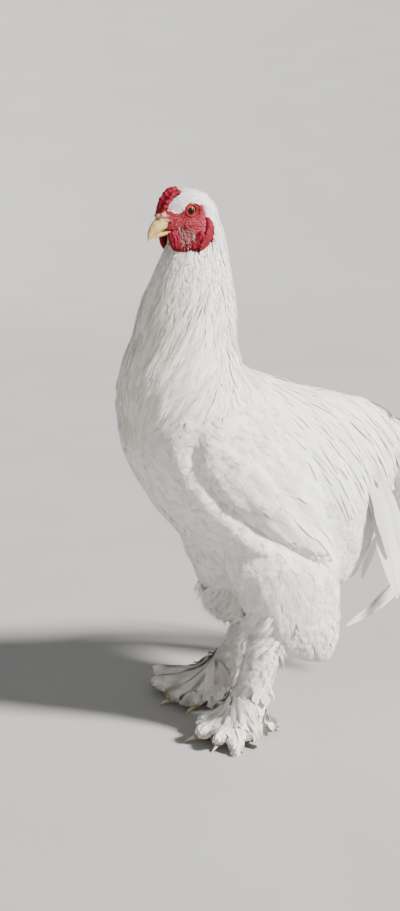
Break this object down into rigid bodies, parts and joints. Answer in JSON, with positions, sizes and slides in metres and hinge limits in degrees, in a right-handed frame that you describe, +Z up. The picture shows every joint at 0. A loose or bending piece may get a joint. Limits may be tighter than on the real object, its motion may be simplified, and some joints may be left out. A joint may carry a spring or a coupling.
{
  "type": "standing rooster",
  "caption": "Life-size white feather-legged rooster with a pea comb, standing at rest with a raised neck and drooping tail.",
  "frame": {"origin": "on the floor, under the middle of the bird's bounding box", "axes": "+Z up; the bird faces -X and its left side is towards -Y"},
  "size_m": [0.5004, 0.2477, 0.7031],
  "materials": {
    "plumage": "matt white feathers, cream on the neck and dusty on the feet",
    "red_skin": "soft satin bare skin of comb, wattles and earlobes",
    "horn": "smooth horn of bill and claws",
    "eye": "wet gloss, orange-red iris and black pupil",
    "toe_scale": "yellowish scaled skin"
  },
  "bodies": {
    "root": {"neck": "plumage", "trunk": "plumage", "head": "plumage", "thigh_left": "plumage", "thigh_right": "plumage", "shank_left": "plumage", "shank_right": "plumage", "wing_left": "plumage", "wing_right": "plumage", "tail": "plumage", "sickle_left": "plumage", "sickle_right": "plumage", "covert_left": "plumage", "covert_right": "plumage", "foot_feathers_left": "plumage", "foot_feathers_right": "plumage", "comb": "red_skin", "wattle_left": "red_skin", "wattle_right": "red_skin", "earlobe_left": "red_skin", "earlobe_right": "red_skin", "eye_left": "eye", "eye_right": "eye", "bill_upper": "horn", "bill_lower": "horn", "claw_inner_left": "horn", "claw_middle_left": "horn", "claw_outer_left": "horn", "claw_hind_left": "horn", "claw_inner_right": "horn", "claw_middle_right": "horn", "claw_outer_right": "horn", "claw_hind_right": "horn", "foot_left": "toe_scale", "foot_right": "toe_scale"}
  },
  "joints": []
}
